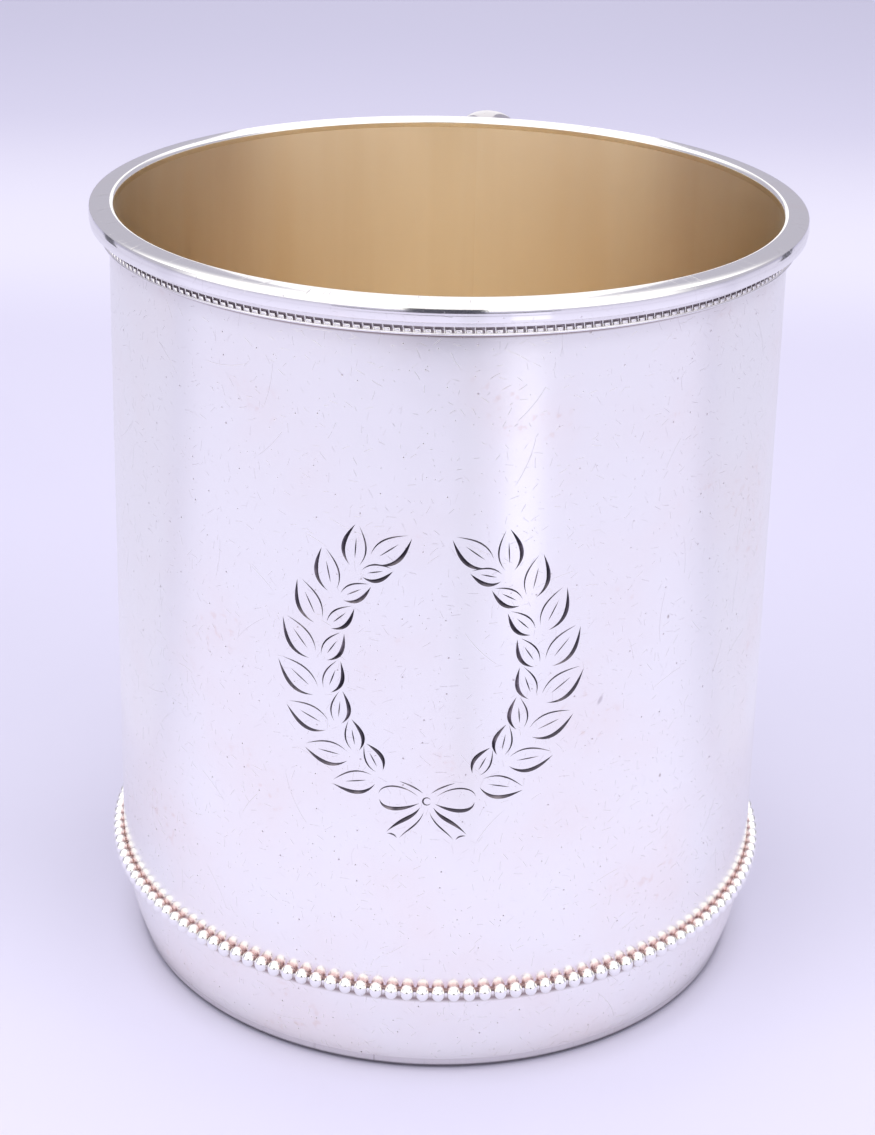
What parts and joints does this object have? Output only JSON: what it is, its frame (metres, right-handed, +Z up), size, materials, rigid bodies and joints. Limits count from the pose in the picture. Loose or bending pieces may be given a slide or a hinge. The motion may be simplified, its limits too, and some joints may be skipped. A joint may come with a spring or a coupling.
{
  "type": "silver mug",
  "caption": "Straight-sided metal mug with a gilt inside, a flat-faced rim wire over a milled strip, a beaded wire above the foot and an ear-shaped handle, for drinking.",
  "frame": {"origin": "middle of the flat underside, on the drum's axis", "axes": "+Z up along the drum's axis, +Y towards the handle, -Y out of the engraved front"},
  "size_m": [0.0766, 0.1045, 0.0867],
  "materials": {
    "drum_silver": "worn satin silver outside with fine scratches, gold wash inside",
    "base_silver": "worn satin silver below, gold wash above",
    "rim_silver": "polished silver",
    "strip_silver": "polished silver with dark tarnish in the notches",
    "bead_silver": "polished silver with brown tarnish between the pearls",
    "handle_silver": "polished silver with fine scratches"
  },
  "bodies": {
    "root": {"body_drum": "drum_silver", "base_plate": "base_silver", "rim_wire": "rim_silver", "milled_strip": "strip_silver", "beaded_wire": "bead_silver", "handle": "handle_silver"}
  },
  "joints": []
}
